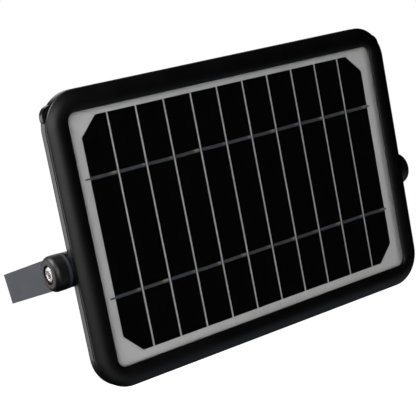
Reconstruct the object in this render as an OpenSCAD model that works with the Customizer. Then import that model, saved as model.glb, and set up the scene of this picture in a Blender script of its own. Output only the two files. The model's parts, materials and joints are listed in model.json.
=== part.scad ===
// Solar flood light: a flat lamp head with a solar panel on one side and LEDs on the other,
// held between the arms of a U-shaped bracket by two clamp screws with round collars.
// Row frame: X across the lamp, Y from the panel towards the bracket's base, Z up.
// The origin is the middle of the bracket's outer base face, where it meets the wall.
// Inside lamp_frame(), the origin is the casing's mid height at the pivot's depth.

/* [Casing] */
// Width of the lamp head
head_w = 226.2; // [224:0.2:230]
// Height of the lamp head
head_h = 156.2; // [154:0.2:160]
// Outer corner radius of the lamp head
corner_r = 19; // [18.5:0.1:19.5]
// Depth from the pivot axis to the lamp side's flat face
lamp_face = 15; // [14.8:0.1:15.6]
// Thickness of the shell around the lamp window
floor_t = 3.5; // [3.2:0.1:3.8]
// Thickness of the sloping shell walls
wall_t = 2.4; // [2:0.1:2.6]
// Slope of the shell's shoulder from the straight-back direction
shoulder_a = 31; // [28:1:33]
// Height of the casing's middle above the pivot axis
mid_above_pivot = 11.6; // [8:0.1:14]

/* [Solar panel] */
// Width of the opening in the bezel
opening_w = 203.2; // [202:0.1:204]
// Height of the opening in the bezel
opening_h = 133; // [132:0.1:134]
// Number of cell strips side by side
strip_count = 11; // [9:1:11]
// Distance from one cell strip to the next
strip_pitch = 17.3; // [16.5:0.1:17.4]
// Gap between two cell strips
strip_gap = 1.15; // [0.8:0.05:1.6]
// Height of a cell strip
strip_h = 125; // [118:1:126]
// Cut across the corners of the end strips
strip_cut = 10; // [6:0.5:12]
// Width of a busbar ribbon
ribbon_w = 1.8; // [1.2:0.1:2.4]
// Thickness of the front glass
glass_t = 1.8; // [1.6:0.1:2]

/* [Lamp side] */
// Height of the lamp window's middle above the casing's middle
window_z = 9; // [8:0.5:9]
// Width of the lamp window
window_w = 164; // [162:1:166]
// Height of the lamp window
window_h = 80; // [79:0.5:81]
// LEDs in a row
led_cols = 12; // [6:1:12]
// Rows of LEDs
led_rows = 4; // [2:1:4]
// Radius of the push button
button_r = 6; // [5:0.5:6]
// Travel of the push button
button_travel = 1.2; // [0.8:0.1:1.2]

/* [Bracket] */
// Distance from the wall to the pivot axis
reach = 78; // [77:1:95]
// Width of the bracket's strip
strap_w = 17; // [15:0.5:20]
// Thickness of the bracket's strip
strap_t = 1.8; // [1.5:0.1:2.5]
// Outer radius of the bracket's bends
bend_r = 4; // [3.5:0.5:6]
// Radius of the round ends around the pivot
arm_end_r = 9.4; // [9.3:0.1:12]
// Distance between the two wall screw holes
wall_hole_pitch = 90; // [60:5:160]
// Radius of the wall screw holes
wall_hole_r = 3.2; // [2.5:0.1:4]
// Radius of the middle bolt hole
middle_hole_r = 4.2; // [3:0.1:5]
// Tilt of the lamp head, the lamp side turned upwards
rest_tilt = 12; // [-35:1:60]

/* [Pivot] */
// Radius of the round collars
collar_r = 9.5; // [9:0.1:11]
// Length of the round collars
collar_l = 7.3; // [6.8:0.1:9]
// Rounding of the collar's outer rim
collar_round = 3; // [1:0.1:3.4]
// Radius of the clamp screws
clamp_r = 2.5; // [2.5:0.1:2.6]

/* [Battery] */
// Radius of a battery cell
cell_r = 9.1; // [8.9:0.1:9.2]
// Length of a battery cell
cell_l = 65; // [63:0.5:65]

/* [Hidden] */
$fn = 64;

eps = 0.01;            // overshoot of a cutter past a face
slip = 0.06;           // radial clearance of a shaft in its hole
small_gap = 0.15;      // gap between faces that turn past each other

// Corner axes shared by the bezel and the shell, and distances outwards from them
axis_x = head_w / 2 - corner_r;
axis_z = head_h / 2 - corner_r;
lip_u = opening_w / 2 - axis_x;

// Depths of the bezel and the laminate along Y
lip_front = -14.2;
lip_back = -13.5;
tape_t = 0.3;
glass_front = lip_back + tape_t;
glass_back = glass_front + glass_t;
ribbon_t = 0.15;
cell_t = 0.3;
sheet_t = 0.4;
cells_front = glass_back + ribbon_t;
cells_back = cells_front + cell_t;
laminate_back = cells_back + sheet_t;
bezel_back = laminate_back;
rim_back = -10.8;
tongue_back = -7;
tongue_in = corner_r - 4.4;
tongue_out = corner_r - 3;
bead_r = 9.5;
bead_u = corner_r - 7.03;
bead_y = -5.81;
laminate_w = opening_w + 3.8;
laminate_h = opening_h + 3.8;
laminate_r = 2;
opening_r = 4.8;
cells_z = 0.6;
array_w = strip_count * strip_pitch - strip_gap;
ribbon_over = 3;

// Depths and outline of the shell
shell_front = -10.2;
shoulder_y = -6.6;
shoulder_r = 3;
face_r = 4;
floor_in = lamp_face - floor_t;
seal_back = -5.6;
seal_in = tongue_in - 0.1;
slope_u = corner_r - shoulder_r + shoulder_r * cos(shoulder_a);
slope_y = shoulder_y + shoulder_r * sin(shoulder_a);
face_arc_y = lamp_face - face_r;
face_arc_u = slope_u - (face_arc_y + face_r * sin(shoulder_a) - slope_y) * tan(shoulder_a)
             - face_r * cos(shoulder_a);
inner_u = slope_u - wall_t * cos(shoulder_a);
inner_y = slope_y - wall_t * sin(shoulder_a);
lug_r = 6;
lug_x = head_w / 2 - lug_r;
lug_z = head_h / 2 - 11.5;
lug_back = -6.6;
lug_in = 2.4;

// Screws that join shell and bezel
post_u = corner_r - 7;
post_r = 2.4;
post_tip = -3;
post_hole_l = 7.5;
pilot_r = 1.3;
housing_screw_r = 1.25;
boss_r = 3.2;
well_r = 3;
well_floor = 0.5;
screw_l = 9.5;
post_spots = [for (sx = [-1, 1], sz = [-1, 1]) [sx * 60, sz * (axis_z + post_u)],
              for (sx = [-1, 1], sz = [-1, 1]) [sx * (axis_x + post_u), sz * 44]];

// Lamp window stack
recess_w = window_w + 12;
recess_h = window_h + 12;
recess_floor = lamp_face - 2.1;
gasket_t = 0.6;
cover_back = recess_floor + gasket_t;
frame_w = window_w + 28;
frame_h = window_h + 26;
frame_t = 1.8;
pane_front = lamp_face + 1.4;
lens_screw_x = frame_w / 2 - 4;
lens_screw_z = frame_h / 2 - 4;
lens_screw_r = 1.1;
lens_head_r = 2.3;
lens_head_t = 1.3;
lens_screw_spots = [for (sx = [-1, 1], sz = [-1, 1]) [sx * lens_screw_x, sz * lens_screw_z],
                    for (sx = [-1, 1], sz = [-1, 1]) [sx * lens_screw_x / 3, sz * lens_screw_z],
                    for (sx = [-1, 1]) [sx * lens_screw_x, 0]];

// LED board, reflector and heat spreader
chip_t = 0.7;
board_t = 1.6;
led_board_w = window_w - 2;
led_board_h = window_h + 4;
led_face = lamp_face - 4.8;
led_pitch_x = 13;
led_pitch_z = 18;
reflector_back = led_face + 0.1;
reflector_front = recess_floor - 0.3;
pad_t = 0.4;
spreader_t = 2;
spreader_front = led_face - board_t - pad_t;
spreader_back = spreader_front - spreader_t;
spreader_w = window_w + 16;
spreader_h = window_h + 10;
spreader_post_r = 2.8;
spreader_spots = [for (sx = [-1, 1], sz = [-1, 1]) [sx * (window_w / 2 + 3), sz * window_h / 2]];
screw_r = 1.1;
screw_bore_r = 1.15;
screw_head_r = 2.2;
screw_head_t = 1.4;

// Battery, along the casing's lower edge
battery_z = -53.5;
battery_y = 0.9;
battery_mid_x = -10;
cell_gap = 2;
tray_wall = 2.7;
tray_h = 21;
tray_back = floor_in - 0.1;
strap_band_t = 0.8;
tab_t = 0.25;
row_l = 2 * cell_l + cell_gap + 0.6;

// Charge controller, behind the heat spreader
control_x = -30;
control_z = 14;
control_w = 62;
control_h = 40;
standoff_r = 2.2;
standoff_l = 4;
control_front = spreader_back - standoff_l;
control_back = control_front - board_t;
control_spots = [for (sx = [-1, 1], sz = [-1, 1]) [sx * 27, sz * 16]];

// Switch, button and indicator, beside the battery
switch_x = 78;
switch_board_x = 81;
switch_board_w = 34;
switch_board_h = 20;
switch_board_front = 3;
switch_spots = [[-14, 7], [14, -7]];
switch_body = 8;
switch_body_t = 4;
plunger_r = 1.7;
plunger_tip = 5.2;
plunger_end = 8.4;
flange_r = button_r + 1.4;
flange_t = 1.2;
flange_front = floor_in - 0.5;
button_front = lamp_face + 1.2;
button_hole_r = button_r + 0.3;
button_seal_r = button_r + 1;
button_seal_y = lamp_face - 2.4;
button_seal_t = 1.2;
indicator_x = 93;
indicator_r = 1.5;

// Pivot stack, measured out from the middle along X
boss_face = head_w / 2 + 0.2;
washer_t = 0.5;
arm_in = boss_face + washer_t + small_gap;
arm_out = arm_in + strap_t;
collar_in = arm_out + small_gap;
collar_floor = 1.4;
collar_well_r = 5.2;
lock_washer_t = 1;
lock_washer_r = 4.6;
screw_seat = collar_in + collar_floor + lock_washer_t;
clamp_head_r = 4.4;
clamp_head_l = 4.7;
clamp_l = 19;
socket_af = 4;
socket_l = 2.6;
pivot_boss_r = 9.3;
inner_boss_r = 5.5;
inner_boss_x = boss_face - 15.4;
insert_r = 4;
insert_l = 10.4;

// Wires: routes through the casing, as points in the lamp frame
wire_r = 0.6;
wire_bend_r = 0.65;
wire_gap = 2;
panel_route = [[-52, -8, 46], [-52, -5, 46], [-52, -5, 33.5], [-52, -1.8, 30], [-52, -1.8, 27]];
led_route = [[-28, -1.7, -2], [-28, -1.7, -14], [-28, 3, -38], [-28, 9.4, -38],
             [-28, 9.4, window_z - led_board_h / 2]];
battery_route = [[-50, -1.7, -2], [-50, -1.7, -14], [-82, -1.7, -30], [-82, 0.9, -50], [-79, 0.9, -50]];
switch_route = [[-10, -1.7, -2], [-10, -1.7, -8], [66, -1.7, -30], [66, 2.2, -43.5]];

// Places its children in the lamp frame, at the head's tilt
module lamp_frame()
    translate([0, -reach, 0]) rotate([rest_tilt, 0, 0]) translate([0, 0, mid_above_pivot])
        children();

// Flat rounded rectangle
module rounded_rect(w, h, r) {
    square([w - 2 * r, h], center = true);
    square([w, h - 2 * r], center = true);
    for (sx = [-1, 1], sz = [-1, 1]) translate([sx * (w / 2 - r), sz * (h / 2 - r)]) circle(r);
}

// Plate standing in XZ, from depth y0 to depth y1
module plate(w, h, r, y0, y1)
    translate([0, y1, 0]) rotate([90, 0, 0]) linear_extrude(y1 - y0) rounded_rect(w, h, r);

// Frame standing in XZ, from depth y0 to depth y1
module ring(w, h, r, in_w, in_h, in_r, y0, y1)
    translate([0, y1, 0]) rotate([90, 0, 0]) linear_extrude(y1 - y0) difference() {
        rounded_rect(w, h, r);
        rounded_rect(in_w, in_h, in_r);
    }

// Box given by its low and high corners
module box(low, high) translate(low) cube(high - low);

// Round rod along Y at [x, z], from depth y0 to depth y1
module rod_y(spot, r, y0, y1)
    translate([spot[0], y1, spot[1]]) rotate([90, 0, 0]) cylinder(r = r, h = y1 - y0);

// Cone along Y at [x, z], radius r0 at depth y0 and r1 at depth y1
module cone_y(spot, r0, r1, y0, y1)
    translate([spot[0], y0, spot[1]]) rotate([-90, 0, 0]) cylinder(r1 = r0, r2 = r1, h = y1 - y0);

// Round rod along the pivot axis, from x0 to x1 on the right side
module rod_x(r, x0, x1) translate([x0, 0, 0]) rotate([0, 90, 0]) cylinder(r = r, h = x1 - x0);

// Sweeps a profile around the casing's rounded outline: the profile's x is the distance
// outwards from the corner axes, and its y is the depth
module around_casing()
    rotate([-90, 0, 0]) for (k = [0:3]) {
        along = k % 2 == 0 ? axis_x : axis_z;
        across = k % 2 == 0 ? axis_z : axis_x;
        rotate([0, 0, 90 * k]) {
            translate([-along, across, 0]) rotate([90, 0, 90]) linear_extrude(2 * along) children();
            translate([along, across, 0]) rotate_extrude(angle = 90) children();
        }
    }

// Both sides of the pivot, as mirror images
module both_sides() for (side = [0, 1]) mirror([side, 0, 0]) children();

// Points of an arc from angle a0 to angle a1
function arc(cx, cy, r, a0, a1, n) =
    [for (i = [0:n]) [cx + r * cos(a0 + (a1 - a0) * i / n), cy + r * sin(a0 + (a1 - a0) * i / n)]];

// Wire along a route of straight stretches with round corners
module wire(route) {
    for (i = [0:len(route) - 2]) {
        d = route[i + 1] - route[i];
        translate(route[i]) rotate([0, acos(d[2] / norm(d)), atan2(d[1], d[0])])
            cylinder(r = wire_r, h = norm(d), $fn = 16);
    }
    for (i = [1:len(route) - 2]) translate(route[i]) sphere(wire_bend_r, $fn = 16);
}

// Two wires, side by side in the given direction
module wire_pair(route, apart)
    for (side = [-1, 1]) wire([for (p = route) p + side * wire_gap / 2 * apart]);

// ---- Bracket ----

// One arm with its bend, on the right side
module arm() {
    difference() {
        union() {
            box([arm_in, -reach, -strap_w / 2], [arm_out, -bend_r, strap_w / 2]);
            translate([0, -reach, 0]) rod_x(arm_end_r, arm_in, arm_out);
        }
        translate([0, -reach, 0]) rod_x(clamp_r + slip, arm_in - eps, arm_out + eps);
    }
    translate([arm_out - bend_r, -bend_r, -strap_w / 2]) intersection() {
        difference() {
            cylinder(r = bend_r, h = strap_w);
            translate([0, 0, -eps]) cylinder(r = bend_r - strap_t, h = strap_w + 2 * eps);
        }
        cube([bend_r, bend_r, strap_w]);
    }
}

module u_bracket() color("slategray") {
    both_sides() arm();
    difference() {
        box([bend_r - arm_out, -strap_t, -strap_w / 2], [arm_out - bend_r, 0, strap_w / 2]);
        rod_y([0, 0], middle_hole_r, -strap_t - eps, eps);
        for (side = [-1, 1])
            rod_y([side * wall_hole_pitch / 2, 0], wall_hole_r, -strap_t - eps, eps);
    }
}

// ---- Solar panel ----

// Section of the bezel: a half-round bead with a thin lip inside and a tongue behind
module bezel_section() {
    difference() {
        intersection() {
            translate([bead_u, bead_y]) circle(bead_r);
            translate([lip_u, bead_y - bead_r])
                square([corner_r - lip_u, bezel_back - bead_y + bead_r]);
        }
        translate([tongue_out, rim_back]) square([corner_r, corner_r]);
        translate([0, lip_back]) square([laminate_w / 2 + 0.2 - axis_x, corner_r]);
    }
    translate([lip_u - 2.5, lip_front]) square([4.5, lip_back - lip_front]);
    translate([tongue_in, bezel_back - 1])
        square([tongue_out - tongue_in, tongue_back - bezel_back + 1]);
}

module panel_bezel() color("#17181a") lamp_frame() difference() {
    union() {
        around_casing() bezel_section();
        for (spot = post_spots) rod_y(spot, post_r, bezel_back - 1, post_tip);
    }
    plate(opening_w, opening_h, opening_r, bead_y - corner_r, 0);
    plate(laminate_w + 0.4, laminate_h + 0.4, laminate_r, lip_back, bezel_back + eps);
    for (spot = post_spots) rod_y(spot, pilot_r, post_tip - post_hole_l, post_tip + eps);
}

module panel_tape() color("#202020") lamp_frame()
    ring(laminate_w, laminate_h, laminate_r, opening_w + 0.6, opening_h + 0.6, opening_r,
         lip_back, glass_front);

module solar_glass() color("lightcyan", 0.4) lamp_frame()
    plate(laminate_w, laminate_h, laminate_r, glass_front, glass_back);

// Flat outline of one strip; the end strips have their outer corners cut off
module strip_outline(k) {
    w = strip_pitch - strip_gap;
    top = strip_h / 2;
    x0 = (k - strip_count / 2) * strip_pitch + strip_gap / 2;
    low_cut = k == 0 ? strip_cut : 0;
    high_cut = k == strip_count - 1 ? strip_cut : 0;
    translate([x0, cells_z]) difference() {
        translate([0, -strip_h / 2]) square([w, strip_h]);
        for (sz = [-1, 1]) scale([1, sz]) {
            polygon([[-1, top - low_cut - 1], [low_cut + 1, top + 1], [-1, top + 1]]);
            polygon([[w + 1, top - high_cut - 1], [w + 1, top + 1], [w - high_cut - 1, top + 1]]);
        }
    }
}

module cells_solid(y0, y1)
    translate([0, y1, 0]) rotate([90, 0, 0]) linear_extrude(y1 - y0)
        for (k = [0:strip_count - 1]) strip_outline(k);

module ribbons_solid(y0, y1)
    for (sz = [-1, 1]) translate([0, 0, cells_z + sz * strip_h / 4])
        box([-array_w / 2 - ribbon_over, y0, -ribbon_w / 2],
            [array_w / 2 + ribbon_over / 2, y1, ribbon_w / 2]);

module solar_cells() color("#10131c") lamp_frame() cells_solid(cells_front, cells_back);

module cell_ribbons() color("silver") lamp_frame() ribbons_solid(glass_back, cells_front);

module encapsulant() color("white", 0.5) lamp_frame() difference() {
    plate(laminate_w, laminate_h, laminate_r, glass_back, cells_back);
    cells_solid(cells_front, cells_back + eps);
    ribbons_solid(glass_back - eps, cells_front + eps);
}

module backsheet() color("whitesmoke") lamp_frame()
    plate(laminate_w, laminate_h, laminate_r, cells_back, laminate_back);

module terminal_cap() color("#202020") lamp_frame()
    translate([-52, 0, 46]) box([-11, laminate_back, -8], [11, laminate_back + 2.5, 8]);

// ---- Shell ----

// Outer edge of the shell's section: straight side, sloping shoulder, round edge and flat face
function shell_edge() = concat(
    [[corner_r, shell_front]],
    arc(corner_r - shoulder_r, shoulder_y, shoulder_r, 0, shoulder_a, 3),
    arc(face_arc_u, face_arc_y, face_r, shoulder_a, 90, 6));

// Section of the shell's wall and its floor
module shell_section()
    polygon(concat(
        [[tongue_out + 0.2, shell_front]], shell_edge(),
        [[0, lamp_face], [0, floor_in]],
        [[inner_u - (floor_in - inner_y) * tan(shoulder_a), floor_in]],
        [[seal_in, inner_y + (inner_u - seal_in) / tan(shoulder_a)]],
        [[seal_in, seal_back], [tongue_out + 0.2, seal_back]]));

// Solid of the shell's outer form
module shell_form() {
    around_casing() polygon(concat([[0, shell_front]], shell_edge(), [[0, lamp_face]]));
    box([-axis_x, shell_front, -axis_z], [axis_x, lamp_face, axis_z]);
}

// Round boss that the arm bears on, clear of the bezel's tongue
module pivot_boss() {
    translate([0, 0, -mid_above_pivot]) {
        rod_x(pivot_boss_r, axis_x + tongue_out + 0.4, boss_face);
        intersection() {
            rod_x(pivot_boss_r, inner_boss_x + 4, boss_face);
            box([0, seal_back, -corner_r], [head_w, lamp_face - 1, corner_r]);
        }
        rod_x(inner_boss_r, inner_boss_x, boss_face);
    }
}

// Small round lug on the flange near an upper corner, kept out of the bezel's tongue
module corner_lug() difference() {
    rod_y([lug_x, lug_z], lug_r, shell_front, lug_back);
    plate(head_w - 2 * lug_in, head_h - 2 * lug_in, corner_r - lug_in, shell_front - eps,
          lug_back + eps);
}

module shell_additions() {
    both_sides() {
        pivot_boss();
        corner_lug();
    }
    intersection() {
        for (spot = post_spots) rod_y(spot, boss_r, post_tip, floor_in);
        shell_form();
    }
    for (spot = spreader_spots)
        rod_y(spot + [0, window_z], spreader_post_r, spreader_front, floor_in + 1);
    for (spot = switch_spots)
        rod_y(spot + [switch_board_x, battery_z], standoff_r, switch_board_front, floor_in + 1);
}

module shell_cuts() {
    translate([0, 0, window_z]) {
        plate(window_w, window_h, 8, 0, lamp_face + eps);
        plate(recess_w, recess_h, 6, recess_floor, lamp_face + eps);
        for (spot = lens_screw_spots) rod_y(spot, lens_screw_r + 0.05, floor_in + 0.2, lamp_face + eps);
        for (spot = spreader_spots) rod_y(spot, screw_bore_r, spreader_front - eps, recess_floor - 1.4);
    }
    for (spot = post_spots) {
        rod_y(spot, housing_screw_r + 0.2, post_tip - eps, well_floor + eps);
        rod_y(spot, well_r, well_floor, lamp_face + eps);
    }
    for (spot = switch_spots)
        rod_y(spot + [switch_board_x, battery_z], screw_bore_r, switch_board_front - eps, floor_in);
    both_sides() translate([0, 0, -mid_above_pivot]) {
        rod_x(insert_r, boss_face - insert_l, boss_face + eps);
        rod_x(clamp_r + 0.2, inner_boss_x + 0.6, boss_face);
    }
    rod_y([switch_x, battery_z], button_hole_r, floor_in - eps, lamp_face + eps);
    rod_y([switch_x, battery_z], button_seal_r, button_seal_y, button_seal_y + button_seal_t);
    rod_y([indicator_x, battery_z], indicator_r + 0.1, floor_in - eps, lamp_face + eps);
}

module body_shell() color("#1c1d20") lamp_frame() difference() {
    union() {
        around_casing() shell_section();
        box([-axis_x, floor_in, -axis_z], [axis_x, lamp_face, axis_z]);
        shell_additions();
    }
    shell_cuts();
}

module housing_seal() color("#303030") lamp_frame() around_casing()
    translate([seal_in + 0.1, tongue_back]) square([tongue_out - tongue_in, seal_back - tongue_back]);

module housing_screws() color("silver") lamp_frame() for (spot = post_spots) {
    rod_y(spot, housing_screw_r, well_floor - screw_l, well_floor);
    difference() {
        rod_y(spot, 2.6, well_floor, well_floor + 1.8);
        for (turn = [0, 90]) translate([spot[0], well_floor + 1.8, spot[1]]) rotate([0, turn, 0])
            cube([3.4, 1.8, 0.8], center = true);
    }
}

// ---- Lamp side ----

module lens_gasket() color("#404040") lamp_frame() translate([0, 0, window_z])
    ring(recess_w - 1, recess_h - 1, 5.5, window_w + 1, window_h + 1, 8, recess_floor, cover_back);

module lens_cover() color("white", 0.4) lamp_frame() translate([0, 0, window_z]) {
    plate(recess_w - 1, recess_h - 1, 5.5, cover_back, lamp_face);
    plate(window_w - 5, window_h - 5, 8, lamp_face - eps, pane_front);
}

module lens_frame() color("#1c1d20") lamp_frame() translate([0, 0, window_z]) difference() {
    ring(frame_w, frame_h, 12, window_w - 3, window_h - 3, 9, lamp_face, lamp_face + frame_t);
    for (spot = lens_screw_spots) {
        rod_y(spot, lens_screw_r + 0.2, lamp_face - eps, lamp_face + frame_t);
        cone_y(spot, lens_screw_r + 0.1, lens_head_r + 0.1, lamp_face + frame_t - lens_head_t,
               lamp_face + frame_t + eps);
    }
}

module lens_screw(spot) {
    rod_y(spot, lens_screw_r, floor_in + 0.4, lamp_face + frame_t - lens_head_t + eps);
    difference() {
        cone_y(spot, lens_screw_r, lens_head_r, lamp_face + frame_t - lens_head_t,
               lamp_face + frame_t);
        for (turn = [0, 90]) translate([spot[0], lamp_face + frame_t, spot[1]])
            rotate([0, turn, 0]) cube([2.8, 1.2, 0.6], center = true);
    }
}

module lens_screws() color("silver") lamp_frame() translate([0, 0, window_z])
    for (spot = lens_screw_spots) lens_screw(spot);

// LED places, counted from the window's middle
function led_spots() =
    [for (i = [0:led_cols - 1], j = [0:led_rows - 1])
        [(i - (led_cols - 1) / 2) * led_pitch_x, (j - (led_rows - 1) / 2) * led_pitch_z]];

module led_board() color("white") lamp_frame() translate([0, 0, window_z])
    plate(led_board_w, led_board_h, 1, led_face - board_t, led_face);

module led_chips() color("khaki") lamp_frame() translate([0, 0, window_z])
    for (spot = led_spots()) translate([spot[0], led_face + chip_t / 2, spot[1]])
        cube([5, chip_t, 3], center = true);

module reflector() color("white") lamp_frame() translate([0, 0, window_z]) difference() {
    plate(window_w - 4, window_h - 2, 7, reflector_back, reflector_front);
    for (spot = led_spots())
        cone_y(spot, 3.2, 6, reflector_back - eps, reflector_front + eps);
}

module thermal_pad() color("lightgray") lamp_frame() translate([0, 0, window_z])
    plate(led_board_w - 4, led_board_h - 6, 1, spreader_front, led_face - board_t);

module heat_spreader() color("silver") lamp_frame() translate([0, 0, window_z]) difference() {
    plate(spreader_w, spreader_h, 3, spreader_back, spreader_front);
    for (spot = spreader_spots) rod_y(spot, screw_r + 0.2, spreader_back - eps, spreader_front + eps);
    for (spot = control_spots) translate([control_x, 0, control_z - window_z])
        rod_y(spot, screw_bore_r, spreader_back - eps, spreader_back + 1.5);
}

// Pan-head screws with the head on the panel's side of depth y
module small_screws(spots, y, l) for (spot = spots) {
    rod_y(spot, screw_head_r, y - screw_head_t, y);
    rod_y(spot, screw_r, y - eps, y + l);
}

module spreader_screws() color("silver") lamp_frame() translate([0, 0, window_z])
    small_screws(spreader_spots, spreader_back, 4.5);

// ---- Battery ----

module battery_row(r, l) translate([battery_mid_x - l / 2, battery_y, battery_z])
    rotate([0, 90, 0]) cylinder(r = r, h = l);

module battery_cells() color("steelblue") lamp_frame() for (side = [-1, 1])
    translate([side * (cell_l + cell_gap) / 2, 0, 0]) battery_row(cell_r, cell_l);

module battery_tray() color("#303236") lamp_frame() difference() {
    box([battery_mid_x - row_l / 2 - tray_wall, battery_y, battery_z - tray_h / 2],
        [battery_mid_x + row_l / 2 + tray_wall, tray_back, battery_z + tray_h / 2]);
    battery_row(cell_r + 0.1, row_l);
}

module battery_tabs() color("silver") lamp_frame() translate([battery_mid_x, battery_y, battery_z])
    for (end = [-1, 1], x = [cell_gap / 2 - tab_t / 2, cell_gap / 2 + cell_l + tab_t / 2])
        translate([end * x, 0, 0]) cube([tab_t, 7, 7], center = true);

module battery_straps() color("#303236") lamp_frame() for (x = [-35, 35])
    translate([battery_mid_x + x, battery_y, battery_z]) difference() {
        union() {
            translate([-4, 0, 0]) rotate([0, 90, 0]) cylinder(r = cell_r + 0.1 + strap_band_t, h = 8);
            box([-4, -strap_band_t, -tray_h / 2], [4, 0, tray_h / 2]);
        }
        translate([-5, 0, 0]) rotate([0, 90, 0]) cylinder(r = cell_r + 0.1, h = 10);
        box([-5, 0, -tray_h], [5, tray_h, tray_h]);
    }

// ---- Charge controller ----

module on_control() translate([control_x, 0, control_z]) children();

module controller_board() color("darkgreen") lamp_frame() on_control() difference() {
    plate(control_w, control_h, 2, control_back, control_front);
    for (spot = control_spots) rod_y(spot, screw_r + 0.1, control_back - eps, control_front + eps);
}

module controller_chip() color("#202020") lamp_frame() on_control()
    box([-12, control_back - 1.5, -2], [-6, control_back, 3]);

module coil() color("#404040") lamp_frame() on_control()
    rod_y([8, 4], 6, control_back - 5, control_back);

module capacitor() color("#26304a") lamp_frame() on_control()
    rod_y([19, -6], 4, control_back - 8.4, control_back);

module wire_connectors() color("ivory") lamp_frame() on_control() {
    for (x = [-20, 2, 20]) box([x - 4, control_back - 4.6, -16], [x + 4, control_back, -11]);
    box([-26, control_back - 4.6, 8], [-18, control_back, 13]);
}

module board_standoffs() color("goldenrod") lamp_frame() on_control() for (spot = control_spots)
    difference() {
        rod_y(spot, standoff_r, control_front, spreader_back);
        rod_y(spot, screw_bore_r, control_front - eps, spreader_back + eps);
    }

module board_screws() color("silver") lamp_frame() on_control()
    small_screws(control_spots, control_back, board_t + standoff_l + 1);

// ---- Switch ----

module on_switch_board() translate([switch_board_x, 0, battery_z]) children();

module switch_board() color("darkgreen") lamp_frame() on_switch_board() difference() {
    plate(switch_board_w, switch_board_h, 1.5, switch_board_front - board_t, switch_board_front);
    for (spot = switch_spots)
        rod_y(spot, screw_r + 0.1, switch_board_front - board_t - eps, switch_board_front + eps);
}

module switch_screws() color("silver") lamp_frame() on_switch_board()
    small_screws(switch_spots, switch_board_front - board_t, 6);

module power_switch() color("#202020") lamp_frame() translate([switch_x, 0, battery_z]) difference() {
    plate(switch_body, switch_body, 0.8, switch_board_front, switch_board_front + switch_body_t);
    rod_y([0, 0], plunger_r + 0.15, switch_board_front + 0.6, switch_board_front + switch_body_t + eps);
}

module button_seal() color("#404040") lamp_frame() translate([0, button_seal_y, 0]) difference() {
    rod_y([switch_x, battery_z], button_seal_r, 0, button_seal_t);
    rod_y([switch_x, battery_z], button_r + slip, -eps, button_seal_t + eps);
}

module power_button() color("#2b2c30") lamp_frame() {
    rod_y([switch_x, battery_z], plunger_r + 0.6, plunger_end, flange_front);
    rod_y([switch_x, battery_z], flange_r, flange_front - flange_t, flange_front);
    rod_y([switch_x, battery_z], button_r, flange_front - eps, button_front - 0.6);
    cone_y([switch_x, battery_z], button_r, button_r - 0.6, button_front - 0.6, button_front);
}

module switch_plunger() color("ivory") lamp_frame()
    rod_y([switch_x, battery_z], plunger_r, plunger_tip, plunger_end);

module indicator_lens() color("palegreen", 0.6) lamp_frame() {
    rod_y([indicator_x, battery_z], indicator_r, floor_in - eps, lamp_face + 0.3);
    rod_y([indicator_x, battery_z], indicator_r + 1, floor_in - 2, floor_in);
}

module indicator_led() color("limegreen") lamp_frame()
    rod_y([indicator_x, battery_z], 1.5, switch_board_front, switch_board_front + 4.5);

// ---- Wires ----

module panel_leads() color("crimson") lamp_frame() wire_pair(panel_route, [1, 0, 0]);

module led_leads() color("crimson") lamp_frame() wire_pair(led_route, [1, 0, 0]);

module battery_leads() color("crimson") lamp_frame() wire_pair(battery_route, [0, 1, 0]);

module switch_leads() color("crimson") lamp_frame() wire_pair(switch_route, [0, 1, 0]);

// ---- Pivot ----

// Everything on the pivot axis, at the head's tilt
module on_pivot() lamp_frame() translate([0, 0, -mid_above_pivot]) children();

module pivot_inserts() color("goldenrod") on_pivot() both_sides() difference() {
    rod_x(insert_r, boss_face - insert_l, boss_face - 0.1);
    rod_x(clamp_r + slip, boss_face - insert_l - eps, boss_face);
}

module pivot_washers() color("#404040") on_pivot() both_sides() difference() {
    rod_x(8, boss_face, boss_face + washer_t);
    rod_x(clamp_r + 0.2, boss_face - eps, boss_face + washer_t + eps);
}

// Round collar with a rounded rim and a well for the screw head
module collar() difference() {
    rotate([0, 90, 0]) translate([0, 0, collar_in]) rotate_extrude() {
        square([collar_r, collar_l - collar_round]);
        square([collar_r - collar_round, collar_l]);
        translate([collar_r - collar_round, collar_l - collar_round]) circle(collar_round);
    }
    rod_x(clamp_r + slip, collar_in - eps, collar_in + collar_l);
    rod_x(collar_well_r, collar_in + collar_floor, collar_in + collar_l + eps);
}

module lock_washer() difference() {
    rod_x(lock_washer_r, collar_in + collar_floor, screw_seat);
    rod_x(clamp_r + slip, collar_in + collar_floor - eps, screw_seat + eps);
    translate([0, 0, -0.4]) box([collar_in, 0, 0], [screw_seat + eps, lock_washer_r + 1, 0.8]);
}

module clamp_screw() difference() {
    union() {
        rod_x(clamp_r, screw_seat - clamp_l, screw_seat + eps);
        rod_x(clamp_head_r, screw_seat, screw_seat + clamp_head_l);
    }
    translate([screw_seat + clamp_head_l - socket_l, 0, 0]) rotate([0, 90, 0])
        cylinder(r = socket_af / 2 / cos(30), h = socket_l + eps, $fn = 6);
}

module left_side() mirror([1, 0, 0]) children();

module right_collar() color("#1c1d20") on_pivot() collar();

module left_collar() color("#1c1d20") on_pivot() left_side() collar();

module right_lock_washer() color("silver") on_pivot() lock_washer();

module left_lock_washer() color("silver") on_pivot() left_side() lock_washer();

module right_clamp_screw() color("silver") on_pivot() clamp_screw();

module left_clamp_screw() color("silver") on_pivot() left_side() clamp_screw();

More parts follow.
